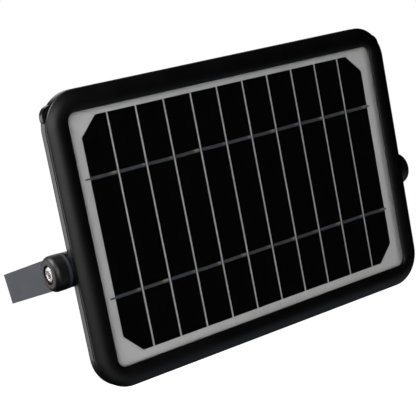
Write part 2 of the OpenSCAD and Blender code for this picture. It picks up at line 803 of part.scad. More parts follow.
u_bracket();
panel_bezel();
panel_tape();
solar_glass();
encapsulant();
solar_cells();
cell_ribbons();
backsheet();
terminal_cap();
body_shell();
housing_seal();
housing_screws();
lens_cover();
lens_gasket();
lens_frame();
lens_screws();
led_board();
led_chips();
reflector();
thermal_pad();
heat_spreader();
spreader_screws();
battery_cells();
battery_tray();
battery_tabs();
battery_straps();
controller_board();
controller_chip();
coil();
capacitor();
wire_connectors();
board_standoffs();
board_screws();
switch_board();
switch_screws();
power_switch();
button_seal();
indicator_lens();
indicator_led();
panel_leads();
led_leads();
battery_leads();
switch_leads();
pivot_inserts();
pivot_washers();
power_button();
switch_plunger();
left_collar();
left_lock_washer();
left_clamp_screw();
right_collar();
right_lock_washer();
right_clamp_screw();
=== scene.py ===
import math
import json
import bmesh
import bpy
import numpy as np
from mathutils import Matrix, Vector


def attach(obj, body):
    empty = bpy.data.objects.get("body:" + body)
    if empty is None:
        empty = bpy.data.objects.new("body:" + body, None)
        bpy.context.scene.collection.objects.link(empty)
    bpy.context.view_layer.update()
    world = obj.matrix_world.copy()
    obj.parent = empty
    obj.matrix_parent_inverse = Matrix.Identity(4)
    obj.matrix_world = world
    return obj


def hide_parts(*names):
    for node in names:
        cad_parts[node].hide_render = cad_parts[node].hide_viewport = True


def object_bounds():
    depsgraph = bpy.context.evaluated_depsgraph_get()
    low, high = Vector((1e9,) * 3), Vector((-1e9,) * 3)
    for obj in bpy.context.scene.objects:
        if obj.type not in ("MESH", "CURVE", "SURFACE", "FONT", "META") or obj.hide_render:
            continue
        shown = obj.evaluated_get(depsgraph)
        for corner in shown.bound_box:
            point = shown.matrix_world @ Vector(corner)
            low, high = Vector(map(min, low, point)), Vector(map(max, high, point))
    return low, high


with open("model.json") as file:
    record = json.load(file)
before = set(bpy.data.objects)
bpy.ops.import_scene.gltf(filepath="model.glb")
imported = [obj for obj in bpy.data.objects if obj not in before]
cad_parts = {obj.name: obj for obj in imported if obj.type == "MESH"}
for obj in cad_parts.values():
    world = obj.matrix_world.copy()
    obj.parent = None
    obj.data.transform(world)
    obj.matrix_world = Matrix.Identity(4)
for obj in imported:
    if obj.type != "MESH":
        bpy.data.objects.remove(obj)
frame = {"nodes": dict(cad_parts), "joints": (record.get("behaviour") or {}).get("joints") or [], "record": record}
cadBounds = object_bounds()
print("frame loaded:", len(frame["nodes"]), "nodes")

mm = 0.001
joints = {joint["name"]: joint for joint in frame["joints"]}
pivot = np.array(joints["head_tilt"]["pos_m"], float)

# The lamp head's own directions at rest: across, towards its lamp side, up its panel.
# The button moves straight into the lamp side, which gives the tilt.
pressAxis = np.array(joints["power_button_press"]["axis"], float)
headAxes = np.array([[1, 0, 0], -pressAxis, np.cross([1, 0, 0], -pressAxis)])


def toRow(points):
    # Points in the head's directions, measured from the pivot, to the row frame
    return pivot + np.asarray(points, float) @ headAxes


def headBox(name):
    # Lowest and highest corner of a CAD node along the head's directions, from the pivot
    mesh = frame["nodes"][name].data
    places = np.empty(len(mesh.vertices) * 3)
    mesh.vertices.foreach_get("co", places)
    places = (places.reshape(-1, 3) - pivot) @ headAxes.T
    return places.min(0), places.max(0)


mixShare, colourA, colourB, colourOut = 0, 6, 7, 2  # a Mix node's sockets for colours


def linear(hexColour):
    # sRGB hex to linear colour
    parts = [int(hexColour[i:i + 2], 16) / 255 for i in (0, 2, 4)]
    return tuple(c / 12.92 if c <= 0.04045 else ((c + 0.055) / 1.055) ** 2.4
                 for c in parts) + (1.0,)


def perMetre(sizeMm):
    # Texture scale that gives features of this size in millimetres
    return 1000 / sizeMm


def addNode(tree, kind, inputs=None, **settings):
    # One node with its settings; an input given as a socket is linked, any other is set
    node = tree.nodes.new(kind)
    for name, value in settings.items():
        setattr(node, name, value)
    for key, value in (inputs or {}).items():
        if isinstance(value, bpy.types.NodeSocket):
            tree.links.new(value, node.inputs[key])
        else:
            node.inputs[key].default_value = value
    return node


def newMaterial(name, **uniform):
    # Principled material; values that are the same all over go on the shader's own sockets
    material = bpy.data.materials.new(name)
    material.use_nodes = True
    tree = material.node_tree
    shader = tree.nodes["Principled BSDF"]
    for key, value in uniform.items():
        shader.inputs[key.replace("_", " ")].default_value = value
    where = addNode(tree, "ShaderNodeTexCoord").outputs["Object"]
    return material, tree, shader, where


def surfaceDetail(tree, shader, where, grainMm, depthMm, rough, spread, patchMm=14):
    # Grain as bump, and roughness that drifts in wide patches as handling leaves it
    grain = addNode(tree, "ShaderNodeTexNoise",
                    {"Vector": where, "Scale": perMetre(grainMm), "Detail": 3.0})
    bump = addNode(tree, "ShaderNodeBump", {"Height": grain.outputs[0], "Strength": 1.0,
                                            "Distance": depthMm / 1000})
    tree.links.new(bump.outputs["Normal"], shader.inputs["Normal"])
    patch = addNode(tree, "ShaderNodeTexNoise",
                    {"Vector": where, "Scale": perMetre(patchMm), "Detail": 2.0})
    roughness = addNode(tree, "ShaderNodeMapRange",
                        {"Value": patch.outputs[0], "From Min": 0.3, "From Max": 0.7,
                         "To Min": rough - spread, "To Max": rough + spread})
    tree.links.new(roughness.outputs["Result"], shader.inputs["Roughness"])


def colourDrift(tree, shader, where, dark, light, patchMm):
    # Base colour that drifts between two close tones
    patch = addNode(tree, "ShaderNodeTexNoise",
                    {"Vector": where, "Scale": perMetre(patchMm), "Detail": 4.0})
    mix = addNode(tree, "ShaderNodeMix", {mixShare: patch.outputs[0], colourA: linear(dark),
                                          colourB: linear(light)}, data_type="RGBA")
    tree.links.new(mix.outputs[colourOut], shader.inputs["Base Color"])


def plastic(name, dark, light, rough, grainMm=0.8, depthMm=0.02, spread=0.04, **uniform):
    # Moulded or painted surface; IOR of common plastics unless another is given
    material, tree, shader, where = newMaterial(name, **{"IOR": 1.53, **uniform})
    colourDrift(tree, shader, where, dark, light, patchMm=9)
    surfaceDetail(tree, shader, where, grainMm, depthMm, rough, spread)
    return material


def metal(name, dark, light, rough, grainMm=0.6, depthMm=0.006, spread=0.06):
    # Bare or plated metal with faint handling marks
    material, tree, shader, where = newMaterial(name, Metallic=1.0)
    colourDrift(tree, shader, where, dark, light, patchMm=3)
    surfaceDetail(tree, shader, where, grainMm, depthMm, rough, spread, patchMm=4)
    return material


def clear(name, ior, rough, **uniform):
    # See-through sheet, tinted only by its own reflections
    return newMaterial(name, Transmission_Weight=1.0, IOR=ior, Roughness=rough, **uniform)[0]


def ribbonMaterial():
    # Solder-dipped copper ribbon: dull grey tin, cream and brighter where the joint was reflowed, and the cream is
    # also a painted highlight, strongest along each ribbon's upper edge
    material, tree, shader, where = newMaterial("tinnedRibbon", Metallic=0.35)
    # The attribute holds the solder joints' cream together with a painted highlight along the upper edge
    solderAndHighlight = addNode(tree, "ShaderNodeAttribute", attribute_name="solder").outputs["Fac"]
    smear = addNode(tree, "ShaderNodeTexNoise", {"Vector": where, "Scale": perMetre(1.4),
                                                "Detail": 3.0}).outputs[0]
    tin = addNode(tree, "ShaderNodeMix", {mixShare: smear, colourA: linear("4a4e52"),
                                          colourB: linear("6c7074")},
                  data_type="RGBA").outputs[colourOut]
    joint = addNode(tree, "ShaderNodeMix", {mixShare: solderAndHighlight, colourA: tin,
                                            colourB: linear("d2c3a8")},
                    data_type="RGBA").outputs[colourOut]
    tree.links.new(joint, shader.inputs["Base Color"])
    surfaceDetail(tree, shader, where, grainMm=0.9, depthMm=0.02, rough=0.5, spread=0.08,
                  patchMm=3)
    return material


def siliconMaterial():
    # Near-black silicon with an anti-reflection coat, and faint silver fingers along each strip
    material, tree, shader, where = newMaterial("siliconCell", Roughness=0.45,
                                                Specular_IOR_Level=0.04)
    fingers = {"pitch": 1.62, "wide": 0.2}  # drawn wider than the real 0.08 mm so that they show
    acrossX = addNode(tree, "ShaderNodeSeparateXYZ", {0: where}).outputs["X"]
    turns = addNode(tree, "ShaderNodeMath", {0: acrossX, 1: perMetre(fingers["pitch"])},
                    operation="MULTIPLY").outputs[0]
    share = addNode(tree, "ShaderNodeMath", {0: turns}, operation="FRACT").outputs[0]
    line = addNode(tree, "ShaderNodeMath", {0: share, 1: fingers["wide"] / fingers["pitch"]},
                   operation="LESS_THAN").outputs[0]
    cloud = addNode(tree, "ShaderNodeTexNoise", {"Vector": where, "Scale": perMetre(20),
                                                "Detail": 2.0}).outputs[0]
    body = addNode(tree, "ShaderNodeMix", {mixShare: cloud, colourA: linear("020203"),
                                           colourB: linear("040406")},
                   data_type="RGBA").outputs[colourOut]
    both = addNode(tree, "ShaderNodeMix", {mixShare: line, colourA: body,
                                           colourB: linear("131315")},
                   data_type="RGBA").outputs[colourOut]
    tree.links.new(both, shader.inputs["Base Color"])
    return material


slotMaterials = {
    # dark slate-grey powder coat: satin, with a fine orange peel
    "bracket_paint": plastic("powderCoatedSteel", "2d3037", "34373f", 0.52, 1.3, 0.03),
    # spark-eroded mould texture: near black with a wide soft sheen
    "black_abs": plastic("mouldedBlackAbs", "030303", "050506", 0.42, 0.9, 0.012,
                         Specular_IOR_Level=0.4),
    # moulded nylon: a black a little greyer than the casing's, with the same soft sheen
    "collar_black": plastic("mouldedBlackNylon", "0b0b0c", "101011", 0.42, 1.1, 0.01),
    # etched silicon wafer: near black, with its fingers just visible close up
    "cell_silicon": siliconMaterial(),
    # solder-dipped copper: dull grey, cream where the joints are, with a painted highlight along the ribbons'
    # upper edges
    "tinned_copper": ribbonMaterial(),
    # laminated film under the glass: matt white, very slightly warm in patches
    "white_film": plastic("whiteBackFilm", "eeeeee", "f2f2f1", 0.5, 2.4, 0.02),
    # rubbers: matt, a little dusty
    "black_rubber": plastic("blackRubber", "101010", "161616", 0.7),
    "grey_rubber": plastic("greyRubber", "5a5a5a", "606060", 0.7),
    # zinc plate: bright grey with soft handling marks
    "steel": metal("zincPlatedSteel", "c6c3be", "e2dfda", 0.42),
    # solder masks: glossy film over laminate
    "white_board": plastic("whiteSolderMask", "e9e9e4", "f1f1ed", 0.35),
    "green_board": plastic("greenSolderMask", "0d4a28", "125a32", 0.3),
    # silicone with yellow phosphor: waxy
    "led_phosphor": plastic("ledPhosphor", "dfc04c", "ecd36c", 0.32, 0.3, 0.01),
    # glossy white reflector moulding: bright with sharp small highlights
    "white_plastic": plastic("whiteReflectorPlastic", "ecece9", "f4f4f2", 0.22, 1.6, 0.004),
    # filled silicone sheet: matt light grey
    "pad_grey": plastic("thermalPadSilicone", "a8abb0", "b2b5ba", 0.8),
    # mill-finish sheet: silver with a soft blur
    "aluminium": metal("rolledAluminium", "b9bbbd", "d0d2d4", 0.38),
    # shrink sleeve: glossy blue
    "cell_wrap": plastic("batterySleevePvc", "1d5c96", "2468a6", 0.25),
    # moulded polypropylene: dull dark grey
    "tray_plastic": plastic("trayPolypropylene", "262627", "2e2e30", 0.55),
    # rolled strip: warm grey, fairly bright
    "nickel": metal("nickelStrip", "b0aa9c", "c6c0b2", 0.3),
    # transfer-moulded epoxy, and sintered powder: flat dark greys
    "chip_black": plastic("chipEpoxy", "161616", "1d1d1d", 0.6),
    "ferrite": plastic("ferriteCore", "2f2f31", "3a3a3c", 0.7),
    # shrink sleeve in dark blue, and glossy cream connector nylon
    "capacitor_sleeve": plastic("capacitorSleeve", "161f40", "1d284e", 0.3),
    "ivory_plastic": plastic("ivoryNylon", "d9d3bd", "e4dfcc", 0.4),
    # brass turned on a lathe: warm yellow
    "brass": metal("turnedBrass", "b58d45", "cda65c", 0.3),
    # moulded light guide: pale green gloss
    "light_pipe": plastic("lightPipe", "a8d8b0", "bbe5c2", 0.2),
    # extruded insulation: soft red sheen; cut strap nylon: dark satin
    "wire_red": plastic("siliconeWire", "a01515", "b41c1c", 0.45),
    "nylon": plastic("blackNylonStrap", "1c1c1c", "262626", 0.5),
    # low-iron glass with an anti-reflection coat: deep black cells, weak reflections
    "clear_glass": clear("coatedFrontGlass", 1.5, 0.06, Specular_IOR_Level=0.2),
    # melted sheet and moulded window: clear, with reflections slightly blurred
    "clear_film": clear("clearFilm", 1.48, 0.05),
    "clear_polycarbonate": clear("clearPolycarbonate", 1.58, 0.08),
}

slotOf = {part["node"]: part["material_slot"] for part in frame["record"]["subparts"]}
for name, node in frame["nodes"].items():
    node.data.materials.clear()
    node.data.materials.append(slotMaterials[slotOf[name]])
# The shell comes from a smoother mould than the bezel: its flange catches a clear grey sheen
shellPlastic = plastic("satinBlackAbs", "0a0a0c", "0e0e11", 0.31, 1.1, 0.008,
                       Specular_IOR_Level=0.7)
frame["nodes"]["body_shell"].data.materials[0] = shellPlastic
# Light reaches what is behind the clear sheets without a shadow
for name in ("solar_glass", "lens_cover"):
    frame["nodes"][name].visible_shadow = False
print("materials assigned")


def addPiece(name, places, faces, body, slotName):
    # Puts places and faces into a smooth mesh, faces outwards, and lets it ride on its body
    mesh = bpy.data.meshes.new(name)
    mesh.from_pydata(places, [], faces)
    shape = bmesh.new()
    shape.from_mesh(mesh)
    bmesh.ops.recalc_face_normals(shape, faces=shape.faces)
    shape.to_mesh(mesh)
    shape.free()
    mesh.polygons.foreach_set("use_smooth", [True] * len(mesh.polygons))
    mesh.materials.append(slotMaterials[slotName])
    piece = bpy.data.objects.new(name, mesh)
    bpy.context.scene.collection.objects.link(piece)
    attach(piece, body)
    return piece


def gridFaces(rows, columns, closeRows=False, closeColumns=False):
    # Four-sided faces of a grid numbered row by row; a closed direction joins its ends
    r = np.arange(rows if closeRows else rows - 1)[:, None]
    c = np.arange(columns if closeColumns else columns - 1)[None, :]
    nextR, nextC = (r + 1) % rows, (c + 1) % columns
    quads = np.stack([r * columns + c, r * columns + nextC,
                      nextR * columns + nextC, nextR * columns + c], -1)
    return quads.reshape(-1, 4)


def softened(points, cuts, steps=5):
    # Polygon whose corners are rounded: each corner P becomes the curve
    # (1-t)^2 A + 2t(1-t) P + t^2 B, with A and B the given distance away along its two sides
    points = np.asarray(points, float)
    t = np.linspace(0, 1, steps)[:, None]
    out = []
    for before, corner, after, cut in zip(np.roll(points, 1, 0), points,
                                          np.roll(points, -1, 0), cuts):
        if cut == 0:
            out.append(corner[None])
            continue
        a = corner + (before - corner) / np.linalg.norm((before - corner)[:2]) * cut
        b = corner + (after - corner) / np.linalg.norm((after - corner)[:2]) * cut
        out.append((1 - t) ** 2 * a + 2 * t * (1 - t) * corner + t ** 2 * b)
    return np.concatenate(out)


def carriedRound(section, halfWide, halfHigh, steps=16):
    # A closed section of (outwards, depth, corner shift) carried round the casing. At angle a of
    # a corner the point is the corner's axis plus the shift along both sides, plus
    # (outwards - shift) * (cos a, sin a), and straight sides join the corners
    quarter = np.linspace(0, math.pi / 2, steps)
    angle = np.concatenate([quarter + k * math.pi / 2 for k in range(4)])[:, None]
    sideX = np.repeat([1, -1, -1, 1], steps)[:, None]
    sideZ = np.repeat([1, 1, -1, -1], steps)[:, None]
    outwards, depth, shift = section.T
    x = sideX * (halfWide + shift) + (outwards - shift) * np.cos(angle)
    z = sideZ * (halfHigh + shift) + (outwards - shift) * np.sin(angle)
    y = np.broadcast_to(depth, x.shape)
    return np.stack([x, y, z], -1), gridFaces(4 * steps, len(section), True, True)


bezelLow, bezelHigh = headBox("panel_bezel")
glassLow, glassHigh = headBox("solar_glass")
cellsLow, cellsHigh = headBox("solar_cells")
ribbonLow, ribbonHigh = headBox("cell_ribbons")
filmLow, filmHigh = headBox("backsheet")
middle = (bezelLow + bezelHigh) / 2
middle[1] = 0

# Bezel: half-round bead, thin lip over the glass, small step at the rim, tongue behind
bezel = {"cornerRadius": 19 * mm, "beadRadius": 9.5 * mm, "beadIn": 11.97 * mm,
         "openingWide": 203.2 * mm, "openingCorner": 4.8 * mm, "rimDepth": 1.4 * mm,
         "tongueOut": 16 * mm, "tongueIn": 14.6 * mm, "tongueShort": 4 * mm,
         "lipToGlass": 0.3 * mm, "glassPlay": 0.2 * mm, "edgeRound": 0.35 * mm, "beadSteps": 26}
halfWide = bezelHigh[0] - middle[0] - bezel["cornerRadius"]
halfHigh = bezelHigh[2] - middle[2] - bezel["cornerRadius"]
lipOut = bezel["openingWide"] / 2 - halfWide
lipShift = lipOut - bezel["openingCorner"]
lipBack = glassLow[1] - bezel["lipToGlass"]
beadFront = bezelLow[1]
beadCentre = beadFront + bezel["beadRadius"]
glassBay = glassHigh[0] + bezel["glassPlay"] - halfWide
reach = np.array([lipOut, bezel["cornerRadius"]]) - bezel["beadIn"]
ends = np.arctan2(-np.sqrt(bezel["beadRadius"] ** 2 - reach ** 2), reach)
sweep = np.linspace(ends[0], ends[1], bezel["beadSteps"])
beadOut = bezel["beadIn"] + bezel["beadRadius"] * np.cos(sweep)
beadDepth = beadCentre + bezel["beadRadius"] * np.sin(sweep)
fade = np.clip((bezel["beadIn"] - beadOut) / (bezel["beadIn"] - lipOut), 0, 1)
bead = np.stack([beadOut, beadDepth, lipShift * fade ** 2], -1)
rimBack = beadDepth[-1] + bezel["rimDepth"]
tongueBack = bezelHigh[1] - bezel["tongueShort"]
backEdge = filmHigh[1]
section = np.concatenate([
    bead,
    [[bezel["cornerRadius"], rimBack, 0], [bezel["tongueOut"], rimBack, 0],
     [bezel["tongueOut"], tongueBack, 0], [bezel["tongueIn"], tongueBack, 0],
     [bezel["tongueIn"], backEdge, 0], [glassBay, backEdge, 0], [glassBay, lipBack, 0],
     [lipOut, lipBack, lipShift]]])
edgeCuts = np.zeros(len(section))
edgeCuts[[0, bezel["beadSteps"] - 1, bezel["beadSteps"]]] = bezel["edgeRound"]
places, faces = carriedRound(softened(section, edgeCuts), halfWide, halfHigh)
bezelPiece = addPiece("bezelBead", toRow(places.reshape(-1, 3) + middle), faces.tolist(),
                      "lamp_head", "black_abs")
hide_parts("panel_bezel")
print("bezel made")

# Back film: flat behind the cells, and pressed up by a hair in the gaps and the border,
# as the melted film leaves it. Its front is depth = back - rise * smoothstep(distance past a cell)
film = {"strips": 11, "pitch": 17.3 * mm, "gap": 1.15 * mm, "cornerCut": 10 * mm,
        "rise": 0.26 * mm, "slope": 0.7 * mm, "behindCells": 0.01 * mm,
        "linesPerGap": 7, "linesPerCut": 14, "linesPastCut": [1.02, 1.05, 1.08, 1.3],
        "linesUp": 9}
cellMiddle = (cellsLow + cellsHigh) / 2
cellHalf = (cellsHigh - cellsLow) / 2
gapAt = cellMiddle[0] + (np.arange(1, film["strips"]) - film["strips"] / 2) * film["pitch"]
gapLines = (gapAt[:, None] + np.linspace(-0.5, 0.5, film["linesPerGap"]) * film["gap"]).ravel()
endLines = np.concatenate([np.linspace(0, 1, film["linesPerCut"]), film["linesPastCut"]])
endX = cellHalf[0] - film["cornerCut"] + endLines * film["cornerCut"]
endZ = cellHalf[2] - film["cornerCut"] + endLines * film["cornerCut"]
linesAcross = np.unique(np.round(np.clip(np.concatenate(
    [gapLines, cellMiddle[0] + endX, cellMiddle[0] - endX, [filmLow[0], filmHigh[0]]]),
    filmLow[0], filmHigh[0]), 6))
linesUp = np.unique(np.round(np.clip(np.concatenate(
    [cellMiddle[2] + endZ, cellMiddle[2] - endZ,
     np.linspace(filmLow[2], filmHigh[2], film["linesUp"])]), filmLow[2], filmHigh[2]), 6))
gridX, gridZ = np.meshgrid(linesAcross, linesUp, indexing="ij")
offX, offZ = abs(gridX - cellMiddle[0]), abs(gridZ - cellMiddle[2])
past = np.maximum.reduce([offX - cellHalf[0], offZ - cellHalf[2],
                          (offX + offZ - cellHalf[0] - cellHalf[2] + film["cornerCut"])
                          / math.sqrt(2)])
nearGap = film["gap"] / 2 - abs(gridX[..., None] - gapAt).min(-1)
raised = np.clip(np.maximum(past, nearGap) / film["slope"], 0, 1)
filmFront = (cellsHigh[1] + film["behindCells"]
             - film["rise"] * raised ** 2 * (3 - 2 * raised))
layers = np.stack([np.stack([gridX, filmFront, gridZ], -1),
                   np.stack([gridX, np.full_like(filmFront, filmHigh[1]), gridZ], -1)])
count = gridX.size
rows, columns = gridX.shape
number = np.arange(count).reshape(rows, columns)
rim = np.concatenate([number[:-1, 0], number[-1, :-1], number[:0:-1, -1], number[0, :0:-1]])
rimNext = np.roll(rim, -1)
topFaces = gridFaces(rows, columns)
walls = np.stack([rim, rimNext, rimNext + count, rim + count], -1)
faces = np.concatenate([topFaces, topFaces[:, ::-1] + count, walls])
filmPiece = addPiece("backFilm", toRow(layers.reshape(-1, 3)), faces.tolist(), "lamp_head",
                     "white_film")
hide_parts("backsheet", "encapsulant")
print("back film made")

# Tinned ribbons: a flat strip along each row of joints that dives behind the film in every gap,
# narrows past the end strips, and carries a solder mound at the right end of each strip.
# Half width, depth and solder are functions of the way along; the solder's cream also fades from the
# upper edge to the lower one as a painted highlight, and a point attribute carries it to the material
ribbon = {"halfWide": 0.9 * mm, "endHalfWide": 0.45 * mm, "thick": 0.1 * mm, "dip": 0.4 * mm,
          "dipLong": 0.24 * mm, "solderLong": 2.6 * mm, "solderBack": 0.5 * mm,
          "solderHigh": 0.035 * mm, "solderLeast": 0.7, "solderVary": 0.3, "solderBeat": 2.4,
          "longVary": 0.35, "longBeat": 1.9, "bulge": 0.1, "wander": 0.12 * mm,
          "waveShort": 7 * mm, "waveLong": 23 * mm, "inFront": 0.045 * mm, "steps": 420,
          "gapSteps": [-1, -0.8, -0.6, 0, 0.6, 0.8, 1]}
gapSteps = gapAt[:, None] + film["gap"] / 2 * np.array(ribbon["gapSteps"])
along = np.unique(np.round(np.concatenate(
    [np.linspace(ribbonLow[0], ribbonHigh[0], ribbon["steps"]), gapSteps.ravel()]), 7))
inStrip = np.mod(along - cellsLow[0], film["pitch"])
strip = np.floor((along - cellsLow[0]) / film["pitch"])
stripLong = film["pitch"] - film["gap"]
intoGap = film["gap"] / 2 - abs(inStrip - stripLong - film["gap"] / 2)
onCells = (along > cellsLow[0]) & (along < cellsHigh[0])
dip = ribbon["dip"] * np.clip(intoGap / ribbon["dipLong"], 0, 1) * onCells
# The eight points round the strip: place across, share of the thickness, share of the
# solder's height, and how much of the solder's colour each takes, most at the upper edge as a painted highlight
across = np.array([-1, -0.8, 0, 0.8, 1, 0.8, 0, -0.8])
layer = np.array([0.5, 0, 0, 0, 0.5, 1, 1, 1])
dome = np.array([0, 0.6, 1, 0.6, 0, 0, 0, 0])
# More cream toward the upper edge: a painted highlight
upperEdgeHighlight = np.array([0, 0.1, 0.5, 1, 1, 1, 0.5, 0.1])
ribbonFront = ribbonLow[1] + ribbon["inFront"]
rowPlaces = [ribbonLow[2] + ribbon["halfWide"], ribbonHigh[2] - ribbon["halfWide"]]
for row, rowZ in enumerate(rowPlaces):
    longHere = ribbon["solderLong"] / 2 * (
        1 + ribbon["longVary"] * np.sin(ribbon["longBeat"] * strip + 2 * row))
    strength = ribbon["solderLeast"] + ribbon["solderVary"] * np.sin(
        ribbon["solderBeat"] * strip + row)
    solder = strength * onCells * np.exp(
        -((inStrip - stripLong + ribbon["solderBack"] + longHere) / longHere) ** 4)
    ribbonHalf = np.where(onCells, ribbon["halfWide"] * (1 + ribbon["bulge"] * solder),
                          ribbon["endHalfWide"])
    wander = (ribbon["wander"] * np.sin(along / ribbon["waveShort"] + 2 * row)
              * np.sin(along / ribbon["waveLong"]))
    ringZ = rowZ + wander[:, None] + across * ribbonHalf[:, None]
    ringY = (ribbonFront + dip[:, None] + layer * ribbon["thick"]
             - ribbon["solderHigh"] * dome * solder[:, None])
    ringX = np.broadcast_to(along[:, None], ringY.shape)
    places = np.stack([ringX, ringY, ringZ], -1)
    steps, sides = ringY.shape
    faces = gridFaces(steps, sides, False, True).tolist()
    faces += [list(range(sides)), list(range((steps - 1) * sides, steps * sides))]
    ribbonPiece = addPiece(f"busRibbon.{row + 1}", toRow(places.reshape(-1, 3)), faces,
                           "lamp_head", "tinned_copper")
    # Solder times the upper-edge weights: real joints plus a painted highlight along the upper edge
    solderAndHighlight = ribbonPiece.data.attributes.new("solder", "FLOAT", "POINT")
    solderAndHighlight.data.foreach_set("value", (solder[:, None] * upperEdgeHighlight).ravel().astype(np.float32))
    if row == 0:
        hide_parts("cell_ribbons")  # the node is both ribbons, named once
print("ribbons made")

# Clamp screws, turned round the pivot's axis: each ring is a place along the axis and a radius.
# The head is a low dome, radius and rise on a quarter ellipse; in the socket the radius follows
# a hexagon, apothem / cos(angle from the flat's middle); the thread's radius is
# shank - depth * |2 frac(turns along - turns round) - 1|
screw = {"shank": 2.5 * mm, "threadDeep": 0.32 * mm, "threadPitch": 0.8 * mm, "head": 4.4 * mm,
         "headLong": 4.7 * mm, "domeRise": 1.1 * mm, "domeIn": 2 * mm, "domeRings": 9,
         "tipRadius": 1.7 * mm, "tipLong": 0.6 * mm, "threadPlay": 0.02 * mm, "fadeLong": 2 * mm,
         "fadeShare": 0.2, "underHead": [2.45 * mm, 3.4 * mm, 4.25 * mm], "rimLift": 0.15 * mm,
         "socketFlat": 2 * mm, "socketDeep": 2.6 * mm, "socketDrop": 0.05 * mm,
         "socketAt": [0, 0.25, 0.7, 1], "socketFlare": [1.07, 1, 1, 1], "drillDeep": 0.5 * mm,
         "drillRadius": 0.5 * mm, "sides": 48, "ringsPerTurn": 6}
roundAngle = np.arange(screw["sides"]) * 2 * math.pi / screw["sides"]
hexStretch = 1 / np.cos(np.mod(roundAngle, math.pi / 3) - math.pi / 6)
lift = np.linspace(0, 1, screw["domeRings"])[:, None] * math.pi / 2
domeRadius = screw["head"] - screw["domeIn"] * (1 - np.cos(lift))
socketRadius = screw["socketFlat"] * hexStretch * np.array(screw["socketFlare"])[:, None]
underHead = np.array(screw["underHead"])[:, None]
for outward, name in ((-1, "left"), (1, "right")):
    node = name + "_clamp_screw"
    low, high = headBox(node)
    outerEnd = abs(low[0] if outward < 0 else high[0])
    innerEnd = abs(high[0] if outward < 0 else low[0])
    seat = outerEnd - screw["headLong"]
    threadAt = np.arange(innerEnd + screw["tipLong"], seat,
                         screw["threadPitch"] / screw["ringsPerTurn"])
    turns = threadAt[:, None] / screw["threadPitch"] - roundAngle * outward / (2 * math.pi)
    deep = screw["threadDeep"] * abs(2 * np.mod(turns, 1) - 1)
    fadeIn = np.clip((threadAt - innerEnd) / screw["fadeLong"], 0, 1)[:, None]
    threadRadius = (screw["shank"] - screw["threadPlay"] - deep) * (
        1 - screw["fadeShare"] * (1 - fadeIn))
    domeAt = outerEnd - screw["domeRise"] * (1 - np.sin(lift[:, 0]))
    socketAt = (outerEnd - screw["socketDrop"]
                - np.array(screw["socketAt"]) * screw["socketDeep"])
    drillEnd = outerEnd - screw["socketDeep"] - screw["drillDeep"]
    rings = [(np.full(1, innerEnd), screw["tipRadius"]), (threadAt, threadRadius),
             (np.full(len(underHead), seat), underHead),
             (np.full(1, seat + screw["rimLift"]), screw["head"]), (domeAt, domeRadius),
             (socketAt, socketRadius), (np.full(1, drillEnd), screw["drillRadius"])]
    alongX = np.concatenate([at for at, ringRadius in rings])[:, None]
    radius = np.concatenate([np.broadcast_to(ringRadius, (len(at), screw["sides"]))
                             for at, ringRadius in rings])
    places = np.stack([np.broadcast_to(alongX * outward, radius.shape),
                       radius * np.cos(roundAngle), radius * np.sin(roundAngle)], -1)
    steps = len(alongX)
    faces = gridFaces(steps, screw["sides"], False, True).tolist()
    faces += [list(range(screw["sides"])),
              list(range((steps - 1) * screw["sides"], steps * screw["sides"]))]
    screwPiece = addPiece(name + "ClampScrew", toRow(places.reshape(-1, 3)), faces,
                          name + "_screw", "steel")
    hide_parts(node)
print("clamp screws made")

# LED packages: a white body with a chamfered rim and a low phosphor dome in it. Every ring is
# the superellipse (w |cos a|^(2/n) , h |sin a|^(2/n)) at its own size, n and depth
led = {"columns": 12, "rows": 4, "pitchX": 13 * mm, "pitchZ": 18 * mm,
       "halfWide": 2.5 * mm, "halfHigh": 1.5 * mm, "sides": 16,
       # rings in mm: in from the half width, in from the half height, roundness, below the top
       "wallTop": (0, 0, 8, 0.25),
       "rim": [(0.05, 0.05, 8, 0.08), (0.2, 0.2, 8, 0.05), (0.42, 0.35, 6, 0.1),
               (0.6, 0.5, 5, 0.3)],
       "dome": [(0.5, 0.45, 5, 0.4), (0.5, 0.42, 5, 0.16), (0.75, 0.6, 4, 0.09),
                (1.4, 0.95, 3, 0.04), (2.2, 1.35, 2, 0.01)]}
chipLow, chipHigh = headBox("led_chips")
chipMiddle = (chipLow + chipHigh) / 2
spotX = chipMiddle[0] + (np.arange(led["columns"]) - (led["columns"] - 1) / 2) * led["pitchX"]
spotZ = chipMiddle[2] + (np.arange(led["rows"]) - (led["rows"] - 1) / 2) * led["pitchZ"]
spots = np.stack(np.meshgrid(spotX, spotZ, indexing="ij"), -1).reshape(-1, 2)
ledAngle = (np.arange(led["sides"]) + 0.5) * 2 * math.pi / led["sides"]


def superRings(table):
    # Rings in the head's directions from rows of the LED's ring table
    inX, inZ, power, below = np.asarray(table, float).T[:, :, None]
    halfX, halfZ = led["halfWide"] - inX * mm, led["halfHigh"] - inZ * mm
    depth = chipHigh[1] - below * mm
    ringX = halfX * np.sign(np.cos(ledAngle)) * abs(np.cos(ledAngle)) ** (2 / power)
    ringZ = halfZ * np.sign(np.sin(ledAngle)) * abs(np.sin(ledAngle)) ** (2 / power)
    return np.stack([ringX, np.broadcast_to(depth, ringX.shape), ringZ], -1)


def ledPiece(name, table, slotName):
    # The same closed stack of rings at every LED place
    rings = superRings(table)
    steps, sides = rings.shape[:2]
    shift = np.stack([spots[:, 0], np.zeros(len(spots)), spots[:, 1]], -1)[:, None]
    places = (rings.reshape(1, -1, 3) + shift).reshape(-1, 3)
    oneFaces = gridFaces(steps, sides, False, True)
    start = (np.arange(len(spots)) * steps * sides)[:, None]
    faces = (oneFaces[None] + start[:, :, None]).reshape(-1, 4).tolist()
    for end in (0, (steps - 1) * sides):
        faces += (start + end + np.arange(sides)).tolist()
    return addPiece(name, toRow(places), faces, "lamp_head", slotName)


